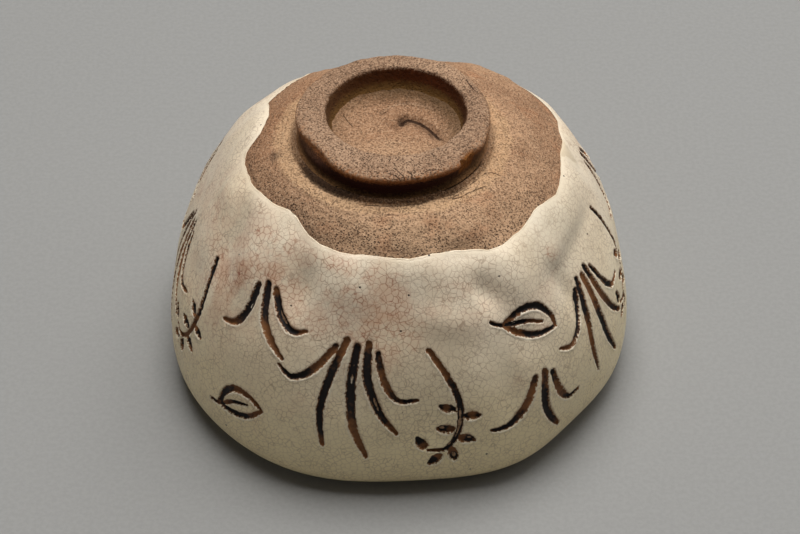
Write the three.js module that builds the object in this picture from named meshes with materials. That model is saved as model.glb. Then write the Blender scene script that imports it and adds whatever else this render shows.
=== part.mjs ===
// A hand-formed stoneware tea bowl, turned over so that it stands on its lip with the foot up.
// Millimetres, +Z up, the origin on the table under the middle of the bowl's outline.
// Four pieces: the clay body, the foot luted on to it, and the two coats of glaze.
import * as THREE from "three";

// Whole bowl
const totalHeight = 74; // table to foot face
const bellyDiameter = 120; // over the glaze, at the widest place
const bellyHeight = 9.4; // the widest place, above the table
const lipDiameter = 103.8; // outer end of the flat that the lip rests on
const lipLand = 1.6; // width of that flat
const lipEdge = 0.8; // radius that rounds the clay from the flat into the mouth
const wallThickness = 5.2;
const floorThickness = 7.2; // clay between the seat of the foot and the inside
const glazeThickness = 0.9;
const mouthCoat = 6; // how far the outside coat runs into the mouth

// Fullness of the curves, as shares of the stretch that each one spans
const lipTurnOut = 0.45;
const lipTurnUp = 0.3;
const mouthTurnIn = 0.3;
const mouthTurnUp = 0.45;
const shoulderEase = 0.43;
const insideBend = 38; // degrees round the inside's curve where the wall turns into the floor

// Shoulder, the bare clay that slopes from the wall up to the foot
const shoulderAngle = 52.9; // degrees round the wall's elliptical curve
const shoulderDrop = 5.2; // end of that curve, below the seat of the foot
const shelfWidth = 1; // flat clay left round the base of the foot

// Foot ring
const footHeight = 7;
const footDiameter = 46.8; // at its widest, just under the face
const footBaseDiameter = 47.8; // at the joint, where the wet slip flares out
const footUndercut = 1.3; // how far the waist is cut in under the face
const footEdgeRadius = 1.3; // worn outer edge of the face
const flareRise = 1.4; // height of the flare of slip over the joint
const flareToe = 0.5; // height at which most of the flare has already run in
const flareHollow = 0.7; // share of the flare that has run in there
const sideLean = 0.25; // share of the undercut that has come back out half way up the side
const boreDiameter = 33; // recess inside the foot, at the face
const boreTaper = 1.2; // the recess is this much narrower at its floor, each side
const boreEdgeRadius = 0.6;
const boreShoulder = { height: 2.6, taper: 0.4 }; // the recess narrows by this share down to there
const cove = { width: 2.4, rise: 0.7, hollow: 0.6 }; // slip smeared into the corner of the recess
const boreOval = 0.015; // share by which the recess is wider from side to side
const recessDish = 0.7; // the recess floor sinks this much towards its middle
const settledFrom = 0.72; // share of the seat's height where the wall starts to turn round
const footOffset = new THREE.Vector2(-1.6, -3.5); // the foot was set off centre
const boreOffset = new THREE.Vector2(-0.8, -1.3); // and its recess was cut off centre again
const chip = { azimuth: -38, width: 3.1, depth: 1.9, drop: 4.2 }; // off the edge of the face

// Out of round: hands, drying and firing pulled the plan into lobes
const lobes = [
  { count: 2, azimuth: 76, share: 0.0112 },
  { count: 3, azimuth: -47, share: 0.0055 },
  { count: 4, azimuth: -43, share: 0.0194 },
  { count: 5, azimuth: 22, share: 0.0069 },
  { count: 6, azimuth: -29, share: 0.0029 },
  { count: 7, azimuth: -8, share: 0.0085 },
];

// The foot ring was turned by hand on a slow wheel, and is a little out of round itself
const footLobes = [
  { count: 2, azimuth: 0, share: 0.006 },
  { count: 3, azimuth: 30, share: 0.005 },
];

// The lower wall was pressed flat on one side, less and less up to this height
const facet = { azimuth: -43, depth: 3, across: 15.9, height: 21 };

// Finger dents: azimuth in degrees, the rest in millimetres. A negative depth is a swelling, and
// lean is how far the dent walks round the wall for each millimetre that it climbs.
const dents = [
  { azimuth: -26, height: 46.5, depth: 1.6, across: 19, along: 4.5, lean: 0 },
  { azimuth: -30, height: 54, depth: -0.5, across: 16, along: 4, lean: 0 },
  { azimuth: -60, height: 55, depth: 1.3, across: 5, along: 7, lean: 0.1 },
  { azimuth: -64, height: 41, depth: 0.8, across: 8, along: 7, lean: 0.5 },
  { azimuth: -122, height: 56, depth: 1.1, across: 5, along: 9, lean: -0.8 },
  { azimuth: -153, height: 53, depth: 0.9, across: 6, along: 9, lean: -2 },
  { azimuth: -86, height: 61, depth: 0.5, across: 6, along: 3, lean: 0 },
  { azimuth: 60, height: 57, depth: -2.7, across: 16, along: 8, lean: 0 },
  { azimuth: 122, height: 60, depth: -1.1, across: 12, along: 6, lean: 0 },
  { azimuth: 102, height: 46, depth: 1.2, across: 8, along: 10, lean: 0.7 },
  { azimuth: 148, height: 51, depth: 0.8, across: 9, along: 8, lean: -0.5 },
];

// Crests and hollows of the glaze's edge: azimuth in degrees, and how much clay is left bare
// between the shelf of the foot and the glaze, in millimetres along the slope.
const glazeEdge = [
  [-178, 13],
  [-162, 11.9],
  [-147, 10.4],
  [-134, 8.6],
  [-123, 12.3],
  [-112, 13.5],
  [-97, 13.1],
  [-86, 14.1],
  [-75, 13.1],
  [-65, 13.3],
  [-57, 16.3],
  [-42, 16],
  [-29, 15],
  [-16, 18.4],
  [3, 18.8],
  [18, 22],
  [34, 27],
  [48, 27.4],
  [62, 27],
  [78, 26.5],
  [95, 22.5],
  [110, 23],
  [128, 17.5],
  [143, 15.5],
  [158, 7.8],
  [170, 7.2],
];

// How finely the forms are divided: the rows along the roll of the lip and in the rounded edge of
// the glaze lie at these distances, and the rest are spread evenly between them
const bowlColumns = 64;
const recessRows = [0.35, 0.7, 1]; // shares of the radius of the recess floor
const footColumns = 80;
const rollRows = [0, 2.4, 5, 8, 11.5, 16];
const beadRows = [
  [1.1, 0.72], // distance from the edge, and share of the full coat there
  [2.8, 1],
];
const wallRows = 8;
const bareRows = 4;
const mouthRows = [0, 0.6, 1.3, 3.2];
const insideRows = 11;

const clayRadius = bellyDiameter / 2 - glazeThickness;
const lipRadius = lipDiameter / 2;
const seatHeight = totalHeight - footHeight;
const shelfRadius = footBaseDiameter / 2 + shelfWidth;
const turn = 2 * Math.PI;
const radians = THREE.MathUtils.degToRad;

// The way round from one azimuth to another, in radians, never more than half a turn
function between(azimuth, other) {
  return Math.atan2(Math.sin(azimuth - other), Math.cos(azimuth - other));
}

// Profile of the clay outside, from the lip to the shelf of the foot: a rolled lip, a wall that
// is part of an ellipse, and a shoulder that runs out flat
function outsideProfile() {
  const swing = radians(shoulderAngle);
  const wallCurve = (seatHeight - shoulderDrop - bellyHeight) / Math.sin(swing);
  const shoulder = new THREE.Vector2(
    clayRadius * Math.cos(swing),
    bellyHeight + wallCurve * Math.sin(swing),
  );
  const along = new THREE.Vector2(
    -clayRadius * Math.sin(swing),
    wallCurve * Math.cos(swing),
  ).normalize();
  const reach = (shoulder.x - shelfRadius) * shoulderEase;
  const lipRise = bellyHeight - glazeThickness;
  const profile = new THREE.Path();
  profile.moveTo(lipRadius, glazeThickness);
  profile.bezierCurveTo(
    lipRadius + (clayRadius - lipRadius) * lipTurnOut,
    glazeThickness,
    clayRadius,
    glazeThickness + lipRise * lipTurnUp,
    clayRadius,
    bellyHeight,
  );
  profile.absellipse(0, bellyHeight, clayRadius, wallCurve, 0, swing, false, 0);
  profile.bezierCurveTo(
    shoulder.x + along.x * reach,
    shoulder.y + along.y * reach,
    shelfRadius + reach,
    seatHeight,
    shelfRadius,
    seatHeight,
  );
  return profile;
}

// Profile of the clay inside, from the lip to the middle of the floor: it swells behind the lip,
// follows the outside at the wall's thickness, and ends in a shallow pool
function insideProfile() {
  const swing = radians(insideBend);
  const radius = clayRadius - wallThickness;
  const wallCurve =
    (seatHeight - shoulderDrop - bellyHeight) / Math.sin(radians(shoulderAngle)) - wallThickness;
  const start = lipRadius - lipLand;
  const mouth = start - lipEdge;
  const edgeTop = glazeThickness + lipEdge;
  const mouthRise = bellyHeight - edgeTop;
  const floor = seatHeight - floorThickness;
  const bend = new THREE.Vector2(
    radius * Math.cos(swing),
    bellyHeight + wallCurve * Math.sin(swing),
  );
  const along = new THREE.Vector2(
    -radius * Math.sin(swing),
    wallCurve * Math.cos(swing),
  ).normalize();
  const reach = bend.x / 3;
  const profile = new THREE.Path();
  profile.absarc(start, edgeTop, lipEdge, -Math.PI / 2, -Math.PI, true);
  profile.bezierCurveTo(
    mouth,
    edgeTop + mouthRise * mouthTurnIn,
    radius,
    bellyHeight - mouthRise * mouthTurnUp,
    radius,
    bellyHeight,
  );
  profile.absellipse(0, bellyHeight, radius, wallCurve, 0, swing, false, 0);
  profile.bezierCurveTo(
    bend.x + along.x * reach,
    bend.y + along.y * reach,
    reach,
    floor,
    0,
    floor,
  );
  return profile;
}

const outside = outsideProfile();
const inside = insideProfile();
const slopeLength = outside.getLength();
const mouthShare = mouthCoat / inside.getLength();

// A place on a profile, moved off it by a distance. side is 1 where the free air is on the right
// of the way from the lip to the foot, and -1 where it is on the left.
function offProfile(profile, share, side, distance) {
  const place = profile.getPointAt(share);
  const way = profile.getTangentAt(share);
  return new THREE.Vector2(
    place.x + side * way.y * distance,
    place.y - side * way.x * distance,
  );
}

// How far the fingers pushed the wall in (or let it swell) at a place
function pushedIn(azimuth, height) {
  const free = THREE.MathUtils.smoothstep(height, glazeThickness, bellyHeight);
  const held = THREE.MathUtils.smoothstep(height, seatHeight - shoulderDrop, seatHeight);
  let depth = 0;
  for (const dent of dents) {
    const climbed = height - dent.height;
    const round = (between(azimuth, radians(dent.azimuth)) * bellyDiameter) / 2;
    const offAxis = (round - dent.lean * climbed) / dent.across;
    depth += dent.depth * Math.exp(-(offAxis ** 2) - (climbed / dent.along) ** 2);
  }
  return depth * free * (1 - held);
}

// The pull out of round at an azimuth, as a share of the radius
function pulled(azimuth, outOfRound) {
  return outOfRound.reduce(
    (sum, lobe) =>
      sum + lobe.share * Math.cos(lobe.count * (azimuth - radians(lobe.azimuth))),
    0,
  );
}

// Bare clay left between the shelf and the glaze at an azimuth, easing from crest to hollow
function bareClay(azimuth) {
  const here = THREE.MathUtils.euclideanModulo(azimuth - radians(glazeEdge[0][0]), turn);
  const stations = glazeEdge.map(([degrees, width]) => [
    radians(degrees - glazeEdge[0][0]),
    width,
  ]);
  stations.push([turn, glazeEdge[0][1]]);
  const next = stations.findIndex(([angle]) => angle > here);
  const [before, narrow] = stations[next - 1];
  const [after, wide] = stations[next];
  const eased = THREE.MathUtils.smootherstep(here, before, after);
  return THREE.MathUtils.lerp(narrow, wide, eased);
}

function pressedFlat(azimuth, height) {
  const round = (between(azimuth, radians(facet.azimuth)) * bellyDiameter) / 2;
  return facet.depth * Math.exp(-((round / facet.across) ** 2) - (height / facet.height) ** 2);
}

// A place on the bowl from its profile radius and height: pressed flat on one side, pulled out of
// round and, near the foot, drawn over to the foot's own centre and made round again
function onBowl(azimuth, radius, height, settled) {
  const pull = 1 + pulled(azimuth, lobes) * (1 - settled);
  const reach = (radius - pressedFlat(azimuth, height)) * pull;
  return new THREE.Vector3(
    reach * Math.cos(azimuth) + footOffset.x * settled,
    reach * Math.sin(azimuth) + footOffset.y * settled,
    height,
  );
}

function settledAt(height) {
  return THREE.MathUtils.smoothstep(height, seatHeight * settledFrom, seatHeight);
}

// A row of points round the bowl, as a function of the azimuth. Its station counts the rows from
// the shelf of the foot over the lip to the middle of the inside, and is half a step more on the
// face of a coat of glaze than on the clay under it.
function row(station, at) {
  return { station, at };
}

function outsideRow(station, shareAt, coat) {
  return row(station + (coat > 0 ? 0.5 : 0), (azimuth) => {
    const share = shareAt(azimuth);
    const height = outside.getPointAt(share).y;
    const place = offProfile(outside, share, 1, coat - pushedIn(azimuth, height));
    return onBowl(azimuth, place.x, place.y, settledAt(height));
  });
}

function insideRow(station, share, coat) {
  const place = offProfile(inside, share, -1, coat);
  return row(station + (coat > 0 ? 0.5 : 0), (azimuth) =>
    onBowl(azimuth, place.x, place.y, 0),
  );
}

// Share of the outside profile at which the glaze ends, at an azimuth
function edgeShare(azimuth) {
  return 1 - bareClay(azimuth) / slopeLength;
}

// Floor of the recess, in rows from near its middle out to the bore of the foot
const recessFloor = recessRows.map((share, index) => {
  const radius = share * (boreDiameter / 2 - boreTaper - cove.width - shelfWidth);
  const height = seatHeight - (recessDish * (1 + Math.cos(Math.PI * share))) / 2;
  const at = (azimuth) =>
    new THREE.Vector3(
      boreOffset.x + radius * Math.cos(azimuth),
      boreOffset.y + radius * Math.sin(azimuth),
      height,
    );
  return row(index, at);
});

const bareShoulder = [];
for (let step = 0; step < bareRows; step += 1) {
  const station = recessFloor.length + step;
  const shareAt = (azimuth) => THREE.MathUtils.lerp(1, edgeShare(azimuth), step / bareRows);
  bareShoulder.push(outsideRow(station, shareAt, 0));
}
const edgeStation = recessFloor.length + bareRows;
const glazeEdgeRow = outsideRow(edgeStation, edgeShare, 0);

// Each glazed row, from the edge of the glaze down to the lip: where it lies on the outside
// profile at an azimuth, and how thick the coat is there
const wallFoot = rollRows.at(-1) / slopeLength;
const glazed = beadRows.map(([distance, fullness]) => ({
  shareAt: (azimuth) => edgeShare(azimuth) - distance / slopeLength,
  coat: glazeThickness * fullness,
}));
for (let step = wallRows - 1; step > 0; step -= 1) {
  const topOf = glazed[beadRows.length - 1].shareAt;
  const shareAt = (azimuth) => THREE.MathUtils.lerp(wallFoot, topOf(azimuth), step / wallRows);
  glazed.push({ shareAt, coat: glazeThickness });
}
for (const distance of rollRows.toReversed()) {
  glazed.push({ shareAt: () => distance / slopeLength, coat: glazeThickness });
}
const clayUnderGlaze = glazed.map(({ shareAt }, index) =>
  outsideRow(edgeStation + 1 + index, shareAt, 0),
);
const glazeOutside = glazed.map(({ shareAt, coat }, index) =>
  outsideRow(edgeStation + 1 + index, shareAt, coat),
);

const lipStation = edgeStation + 1 + glazed.length;
const clayMouth = [];
const glazeMouth = [];
for (const distance of [...mouthRows, mouthCoat]) {
  const share = distance / inside.getLength();
  const station = lipStation + clayMouth.length;
  clayMouth.push(insideRow(station, share, 0));
  glazeMouth.push(insideRow(station, share, glazeThickness));
}

const clayInside = [];
const glazeInside = [];
for (let step = 1; step < insideRows; step += 1) {
  const share = THREE.MathUtils.lerp(mouthShare, 1, step / insideRows);
  const station = lipStation + mouthRows.length + step;
  clayInside.push(insideRow(station, share, 0));
  glazeInside.push(insideRow(station, share, glazeThickness));
}

// A closed skin over rows of points. With poles, the first and last rows close on a point each.
// Without, the last row joins the first. Each cell is split from its lower station to its higher
// one, so two pieces that share rows meet face to face.
function skin(rows, columns, poles) {
  const points = [];
  const faces = [];
  for (const { at } of rows) {
    for (let column = 0; column < columns; column += 1) {
      points.push(at((turn * column) / columns));
    }
  }
  const bands = poles ? rows.length - 1 : rows.length;
  for (let band = 0; band < bands; band += 1) {
    const following = (band + 1) % rows.length;
    const rising = rows[band].station < rows[following].station;
    for (let column = 0; column < columns; column += 1) {
      const next = (column + 1) % columns;
      const [a, b] = [band * columns + column, band * columns + next];
      const [c, d] = [following * columns + next, following * columns + column];
      if (rising) {
        faces.push([a, b, c], [a, c, d]);
      } else {
        faces.push([a, b, d], [b, c, d]);
      }
    }
  }
  if (poles) {
    const [first, last] = poles;
    const end = (rows.length - 1) * columns;
    points.push(first, last);
    for (let column = 0; column < columns; column += 1) {
      const next = (column + 1) % columns;
      faces.push([points.length - 2, next, column]);
      faces.push([points.length - 1, end + column, end + next]);
    }
  }
  const volume = faces.reduce((sum, [a, b, c]) => {
    const across = points[b].clone().cross(points[c]);
    return sum + points[a].dot(across) / 6;
  }, 0);
  const outward = volume > 0 ? faces : faces.map(([a, b, c]) => [a, c, b]);
  const geometry = new THREE.BufferGeometry().setFromPoints(points);
  geometry.setIndex(outward.flat());
  geometry.computeVertexNormals();
  return geometry;
}

// A row round the outside of the foot ring, where a chip is missing from the upper edge
function footRow(station, radius, height) {
  const chipped = THREE.MathUtils.smoothstep(height, totalHeight - chip.drop, totalHeight);
  return row(station, (azimuth) => {
    const round = (between(azimuth, radians(chip.azimuth)) * footDiameter) / 2;
    const missing = chipped * chip.depth * Math.exp(-((round / chip.width) ** 4));
    const reach = radius * (1 + pulled(azimuth, footLobes)) - missing;
    return new THREE.Vector3(
      footOffset.x + reach * Math.cos(azimuth),
      footOffset.y + reach * Math.sin(azimuth),
      height,
    );
  });
}

function boreRow(station, radius, height) {
  const at = (azimuth) =>
    new THREE.Vector3(
      boreOffset.x + radius * (1 + boreOval) * Math.cos(azimuth),
      boreOffset.y + radius * (1 - boreOval) * Math.sin(azimuth),
      height,
    );
  return row(station, at);
}

function footRing() {
  const widest = footDiameter / 2;
  const base = footBaseDiameter / 2;
  const bore = boreDiameter / 2;
  const flareTop = seatHeight + flareRise;
  const underEdge = totalHeight - footEdgeRadius;
  const waist = widest - footUndercut;
  const eighth = Math.SQRT1_2; // sine of 45 degrees, half way round the worn edge
  const rows = [
    footRow(0, base, seatHeight),
    footRow(1, THREE.MathUtils.lerp(base, waist, flareHollow), seatHeight + flareToe),
    footRow(2, waist, flareTop),
    footRow(3, THREE.MathUtils.lerp(waist, widest, sideLean), (flareTop + underEdge) / 2),
    footRow(4, widest, underEdge),
    footRow(5, widest - footEdgeRadius * (1 - eighth), underEdge + footEdgeRadius * eighth),
    footRow(6, widest - footEdgeRadius, totalHeight),
    boreRow(7, bore + boreEdgeRadius, totalHeight),
    boreRow(8, bore, totalHeight - boreEdgeRadius),
    boreRow(9, bore - boreTaper * boreShoulder.taper, seatHeight + boreShoulder.height),
    boreRow(10, bore - boreTaper - cove.width * (1 - cove.hollow), seatHeight + cove.rise),
    boreRow(11, bore - boreTaper - cove.width, seatHeight),
  ];
  return skin(rows, footColumns, null);
}

const stoneware = new THREE.MeshStandardMaterial({ color: 0x96704f, roughness: 0.9 });
const footClay = new THREE.MeshStandardMaterial({ color: 0x8e6a4d, roughness: 0.92 });
const outerGlaze = new THREE.MeshStandardMaterial({ color: 0xc4bca4, roughness: 0.42 });
const innerGlaze = new THREE.MeshStandardMaterial({ color: 0xcbc3ad, roughness: 0.36 });

function piece(name, geometry, material) {
  const mesh = new THREE.Mesh(geometry, material);
  mesh.name = name;
  return mesh;
}

const recessMiddle = new THREE.Vector3(boreOffset.x, boreOffset.y, seatHeight - recessDish);
const floorMiddle = new THREE.Vector3(0, 0, seatHeight - floorThickness);
const poolMiddle = floorMiddle.clone().setZ(floorMiddle.z - glazeThickness);

const clayBody = piece(
  "clay_body",
  skin(
    [
      ...recessFloor,
      ...bareShoulder,
      glazeEdgeRow,
      ...clayUnderGlaze,
      ...clayMouth,
      ...clayInside,
    ],
    bowlColumns,
    [recessMiddle, floorMiddle],
  ),
  stoneware,
);

const foot = piece("foot_ring", footRing(), footClay);

const outerCoat = piece(
  "outer_glaze",
  skin(
    [
      glazeEdgeRow,
      ...glazeOutside,
      ...glazeMouth,
      ...clayMouth.toReversed(),
      ...clayUnderGlaze.toReversed(),
    ],
    bowlColumns,
    null,
  ),
  outerGlaze,
);

const innerCoat = piece(
  "inner_glaze",
  skin(
    [
      ...clayInside.toReversed(),
      clayMouth.at(-1),
      glazeMouth.at(-1),
      ...glazeInside,
    ],
    bowlColumns,
    [floorMiddle, poolMiddle],
  ),
  innerGlaze,
);

const bowl = new THREE.Group();
bowl.add(clayBody, foot, outerCoat, innerCoat);

// The outline isn't round, so the bowl is slid until its outline is centred on the origin
const outline = new THREE.Box3().setFromObject(bowl);
const middle = outline.getCenter(new THREE.Vector3());
bowl.children.forEach((mesh) => mesh.geometry.translate(-middle.x, -middle.y, 0));

export default bowl;
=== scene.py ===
# Looks of a hand-formed stoneware tea bowl that stands upside down on its lip, with its foot up.
# Metres, +Z up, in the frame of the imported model. Azimuths are in degrees, 0 along +X.
import math

import bpy
import numpy as np
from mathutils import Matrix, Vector, noise
from mathutils.bvhtree import BVHTree
from mathutils.kdtree import KDTree


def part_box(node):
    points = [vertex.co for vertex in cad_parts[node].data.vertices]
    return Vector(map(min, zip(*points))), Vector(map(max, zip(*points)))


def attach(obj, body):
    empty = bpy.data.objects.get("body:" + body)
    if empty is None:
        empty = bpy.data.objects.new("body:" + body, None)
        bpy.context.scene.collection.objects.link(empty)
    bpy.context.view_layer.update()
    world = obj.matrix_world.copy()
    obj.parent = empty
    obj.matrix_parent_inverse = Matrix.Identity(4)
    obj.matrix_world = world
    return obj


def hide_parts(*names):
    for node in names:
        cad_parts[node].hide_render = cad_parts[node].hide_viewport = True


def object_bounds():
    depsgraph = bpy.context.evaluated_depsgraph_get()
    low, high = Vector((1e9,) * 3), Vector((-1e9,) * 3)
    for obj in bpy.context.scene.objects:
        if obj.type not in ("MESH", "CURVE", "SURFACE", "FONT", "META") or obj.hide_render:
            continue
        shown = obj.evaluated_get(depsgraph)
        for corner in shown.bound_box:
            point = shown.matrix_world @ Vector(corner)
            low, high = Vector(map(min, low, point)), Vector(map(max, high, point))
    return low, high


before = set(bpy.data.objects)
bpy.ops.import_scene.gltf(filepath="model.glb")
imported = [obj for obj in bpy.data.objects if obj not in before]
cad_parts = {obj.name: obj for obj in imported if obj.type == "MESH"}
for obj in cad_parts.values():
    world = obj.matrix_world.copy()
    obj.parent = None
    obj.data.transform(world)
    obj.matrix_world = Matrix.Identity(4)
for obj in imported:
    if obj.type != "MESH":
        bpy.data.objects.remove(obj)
cad_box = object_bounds()

# Clay body. One lump of coarse, iron-bearing stoneware, pinched and scraped into wall, shoulder
# and floor, which still shows the presses of the fingers. It stays bare round the foot and in the
# foot's recess, and glaze hides the rest of it.
mm = 0.001
foot_low, foot_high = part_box("foot_ring")
seat_height = foot_low.z
foot_face = foot_high.z
foot_centre = Vector((-1.5 * mm, -4.4 * mm, seat_height))
foot_reach = 23.9 * mm
recess_centre = Vector((-0.7 * mm, -2.2 * mm, seat_height))
recess_reach = 16.2 * mm
shoulder_height = 0.6 * seat_height
belly_middle = np.array((0, 0, 9.4 * mm))
belly_reach = 60 * mm
weld_distance = 0.001 * mm


def welded_copy(node, name):
    """A CAD piece copied as one welded skin of quads, ready to be worked on."""
    piece = bpy.data.objects.new(name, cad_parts[node].data.copy())
    piece.data.name = name
    piece.data.materials.clear()
    bpy.context.scene.collection.objects.link(piece)
    bpy.ops.object.select_all(action="DESELECT")
    piece.select_set(True)
    bpy.context.view_layer.objects.active = piece
    bpy.ops.mesh.customdata_custom_splitnormals_clear()
    bpy.ops.object.mode_set(mode="EDIT")
    bpy.ops.mesh.select_all(action="SELECT")
    bpy.ops.mesh.remove_doubles(threshold=weld_distance)
    bpy.ops.mesh.tris_convert_to_quads(face_threshold=math.pi, shape_threshold=math.pi)
    bpy.ops.object.mode_set(mode="OBJECT")
    return piece


def rounded(piece, levels):
    """Rounds a piece off by Catmull-Clark subdivision."""
    modifier = piece.modifiers.new("rounding", "SUBSURF")
    modifier.levels = levels
    modifier.render_levels = levels
    bpy.context.view_layer.objects.active = piece
    bpy.ops.object.modifier_apply(modifier=modifier.name)
    bpy.ops.object.shade_smooth()


def points_of(piece):
    places = np.empty(len(piece.data.vertices) * 3, np.float32)
    piece.data.vertices.foreach_get("co", places)
    return places.reshape(-1, 3).astype(float)


def normals_of(piece):
    ways = np.empty(len(piece.data.vertices) * 3, np.float32)
    piece.data.vertex_normals.foreach_get("vector", ways)
    return ways.reshape(-1, 3).astype(float)


def moved_to(piece, places):
    piece.data.vertices.foreach_set("co", places.astype(np.float32).ravel())
    piece.data.update()


def pushed_out(piece, distances):
    """Moves each point of a piece along its normal."""
    moved_to(piece, points_of(piece) + normals_of(piece) * distances[:, None])


def facing_out(piece):
    """Which points of a piece look away from the middle of the belly."""
    return (normals_of(piece) * (points_of(piece) - belly_middle)).sum(1) > 0


def finer_where(piece, chosen, cuts, easing):
    """Divides the faces whose corners are all chosen, and eases the new points to a curve."""
    bpy.context.view_layer.objects.active = piece
    bpy.context.tool_settings.mesh_select_mode = (False, False, True)
    piece.data.vertices.foreach_set("select", np.zeros(len(piece.data.vertices), bool))
    piece.data.edges.foreach_set("select", np.zeros(len(piece.data.edges), bool))
    inside = [chosen[list(face.vertices)].all() for face in piece.data.polygons]
    piece.data.polygons.foreach_set("select", np.array(inside))
    bpy.ops.object.mode_set(mode="EDIT")
    bpy.ops.mesh.subdivide(number_cuts=cuts, smoothness=1.0)
    bpy.ops.mesh.vertices_smooth(factor=0.5, repeat=easing)
    bpy.ops.object.mode_set(mode="OBJECT")


def note(piece, name, values):
    """Keeps one number for each point of a piece, for its material to read."""
    attribute = piece.data.attributes.new(name, "FLOAT", "POINT")
    attribute.data.foreach_set("value", np.asarray(values, np.float32))


def grain(places, size, shift=0.0):
    """Smooth noise from -1 to 1 at each place, with lumps of the given size."""
    offset = Vector((shift, shift * 0.7, -shift))
    return np.array([noise.noise(Vector(place) / size + offset) for place in places])


def bell(distance, width):
    return np.exp(-((distance / width) ** 2))


def flat_bell(distance, width):
    """A bell with a flat top and steep sides."""
    return bell((distance / width) ** 2, 1)


def slope(value, low, high):
    """Rises smoothly from 0 at low to 1 at high."""
    share = np.clip((value - low) / (high - low), 0, 1)
    return share * share * (3 - 2 * share)


def azimuth_of(places, centre):
    return np.degrees(np.arctan2(places[:, 1] - centre[1], places[:, 0] - centre[0]))


def reach_of(places, centre):
    return np.hypot(places[:, 0] - centre[0], places[:, 1] - centre[1])


def turned_by(azimuth, other):
    """Degrees from one azimuth to another, from -180 to 180."""
    return (azimuth - other + 180) % 360 - 180


def way_at(azimuth, climb):
    """The direction out of the belly's middle at an azimuth and a climb, both in degrees."""
    turn = math.radians(azimuth)
    rise = math.radians(climb)
    level = math.cos(rise)
    return Vector((level * math.cos(turn), level * math.sin(turn), math.sin(rise)))


def on_skin(skin, way):
    """Where a ray towards the belly's middle first meets the outside."""
    return skin.ray_cast(Vector(belly_middle) + way * 2 * belly_reach, -way)[0]


# Presses of the fingers in the soft wall: azimuth and climb in degrees, push outwards, half width
# across and half length along the slope in millimetres, and lean in degrees
presses = [
    (-161, 48, 1.1, 5, 4, 0),
    (-137, 41, 1.3, 4.5, 8, 12),
    (-104, 45, 1.1, 5.5, 6, 0),
    (-77, 38, 1.0, 7, 3.5, -15),
    (-55, 43, 1.4, 5, 7, 0),
    (-39, 43, 1.0, 5, 4, 0),
    (-132, 53, -0.8, 4, 3, 0),
    (-119, 42, -1.5, 3.2, 6, 0),
    (-72, 51, -0.7, 4, 3, 0),
    (-64, 42, -1.7, 2.8, 4.6, 30),
    (-57, 30, -0.7, 4, 6, 0),
    (-25, 40, -0.7, 14, 2.5, 0),
    (-40, 33, -1.1, 2.4, 9, 14),
    (-149, 42, -1.0, 2.6, 11, 0),
    (-127, 22, 0.5, 5, 9, 0),
    (-63, 18, -1.0, 4, 9, 0),
    (-103, 20, -0.6, 5, 7, 0),
    (-93, 28, 0.4, 5, 6, 0),
    (-82, 13, -0.7, 5, 7, 0),
    (-156, 28, -0.7, 5, 6, 0),
    (-58, 61, -0.6, 5, 3.5, 0),
    (-30, 55, 0.6, 5, 4, 0),
    (-66, 55, 0.5, 5, 3, 0),
    (-93, 55, 0.6, 6, 4, 0),
    (-77, 57, -0.5, 3, 5, 0),
    (-124, 55, 0.5, 4, 4, 0),
    (-9, 63, 0.5, 3, 5, 0),
    (12, 50, 0.5, 6, 5, 0),
    (37, 51, 0.5, 6, 5, 0),
    (-167, 56, 0.4, 4, 3, 0),
    (150, 44, 0.8, 6, 5, 0),
    (118, 40, -0.8, 5, 6, 15),
    (85, 46, 0.7, 6, 6, 0),
    (60, 38, -0.6, 5, 7, -10),
    (30, 34, -0.6, 6, 6, 0),
    (165, 25, -0.5, 6, 7, 0),
    (95, 22, -0.5, 6, 8, 0),
    (8, 24, 0.5, 7, 6, 0),
]
clay = welded_copy("clay_body", "clay_wall")
outside_skin = BVHTree.FromObject(clay, bpy.context.evaluated_depsgraph_get())


def pressed(places):
    """Places on the outside, moved by the presses of the fingers."""
    shift = np.zeros_like(places)
    for azimuth, climb, push, across, along, lean in presses:
        way = way_at(azimuth, climb)
        offset = places - np.array(on_skin(outside_skin, way))
        turn = math.radians(azimuth)
        sideways = offset @ np.array((-math.sin(turn), math.cos(turn), 0))
        outwards = offset @ np.array((math.cos(turn), math.sin(turn), 0))
        upwards = np.hypot(outwards, offset[:, 2]) * np.sign(offset[:, 2])
        tilt = math.radians(lean)
        first = sideways * math.cos(tilt) + upwards * math.sin(tilt)
        second = upwards * math.cos(tilt) - sideways * math.sin(tilt)
        shape = bell(np.hypot(first / across, second / along), mm)
        shift += shape[:, None] * push * mm * np.array(way)
    return places + shift


# The glaze's edge is the innermost line of the outside coat, seen from above. It is looked for at
# even azimuths, among the points within a few degrees of each.
glaze_skin = points_of(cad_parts["outer_glaze"])
high_glaze = glaze_skin[glaze_skin[:, 2] > shoulder_height]
edge_columns = 64
edge_steps = 12
sector_half = 2.6
edge_knots = []
for edge_azimuth in np.arange(edge_columns) * 360 / edge_columns - 180:
    turned = turned_by(azimuth_of(high_glaze, belly_middle), edge_azimuth)
    candidates = high_glaze[np.abs(turned) < sector_half]
    edge_knots.append(candidates[reach_of(candidates, foot_centre).argmin()])
edge_loop = []
for start, end in zip(edge_knots, edge_knots[1:] + edge_knots[:1]):
    edge_loop.extend(np.linspace(start, end, edge_steps, endpoint=False))
edge_loop = np.array(edge_loop)


def tree_of(places):
    tree = KDTree(len(places))
    for index, place in enumerate(places):
        tree.insert(place, index)
    tree.balance()
    return tree


edge_tree = tree_of(edge_loop)


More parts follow.
